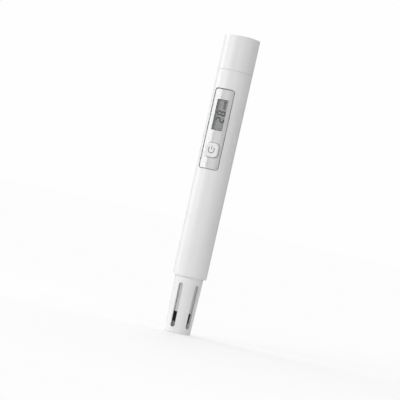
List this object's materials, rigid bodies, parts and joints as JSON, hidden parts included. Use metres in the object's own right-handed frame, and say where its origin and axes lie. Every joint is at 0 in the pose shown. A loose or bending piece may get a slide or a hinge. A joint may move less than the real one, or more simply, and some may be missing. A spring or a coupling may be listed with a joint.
{
  "type": "tds meter pen",
  "caption": "Round handheld water tester with a small display, a power key, a pull-off battery cap and a slotted guard round its probe.",
  "frame": {"origin": "centre of the probe guard's rim, on the pen's axis, where the pen stands on a surface", "axes": "+Z along the pen from the probe to the battery cap's flat end; the display and the key face -Y; +X is to the right as one looks at the display with the cap up"},
  "size_m": [0.018, 0.018, 0.1535],
  "materials": {
    "shell": "satin gloss",
    "panel": "gloss",
    "key": "satin",
    "guard": "satin gloss",
    "clear_window": "clear",
    "lcd_glass": "grey-green",
    "lcd_film": "matte",
    "white_moulding": "matte",
    "grey_moulding": "matte",
    "tape": "matte",
    "conductive_rubber": "matte",
    "circuit_board": "solder mask",
    "chip_coating": "gloss",
    "components": "satin",
    "switch_black": "matte",
    "plunger": "matte",
    "steel": "brushed",
    "cell_steel": "polished",
    "electrode": "polished",
    "contact": "gold plated",
    "seal_rubber": "matte",
    "electrode_seat": "matte",
    "wire": "matte"
  },
  "bodies": {
    "pen": {"housing": "shell", "front_panel": "panel", "panel_tape": "tape", "display_lens": "clear_window", "lcd_cell": "lcd_glass", "lcd_film": "lcd_film", "lcd_holder": "white_moulding", "contact_strips": "conductive_rubber", "circuit_board": "circuit_board", "controller_chip": "chip_coating", "board_parts": "components", "switch_body": "switch_black", "inner_chassis": "white_moulding", "board_screws": "steel", "battery_sleeve": "white_moulding", "neck_seal": "seal_rubber", "lower_cell": "cell_steel", "upper_cell": "cell_steel", "battery_spring": "contact", "return_contact": "contact", "probe_carrier": "grey_moulding", "carrier_seal": "seal_rubber", "electrode_seal": "electrode_seat", "electrode_pins": "electrode", "temperature_sensor": "electrode", "sensor_leads": "wire", "probe_guard": "guard"},
    "power_button": {"button_cap": "key", "switch_plunger": "plunger"},
    "battery_cap": {"cap_shell": "shell", "cap_insert": "white_moulding", "cap_contact": "contact"}
  },
  "joints": [
    {"name": "key_press", "type": "slide", "parent": "pen", "child": "power_button", "axis": [0, 1, 0], "range_m": [0, 0.0004], "stiffness_N_per_m": 2500},
    {"name": "cap_pull", "type": "slide", "parent": "pen", "child": "battery_cap", "axis": [0, 0, 1], "range_m": [0, 0.03]}
  ]
}
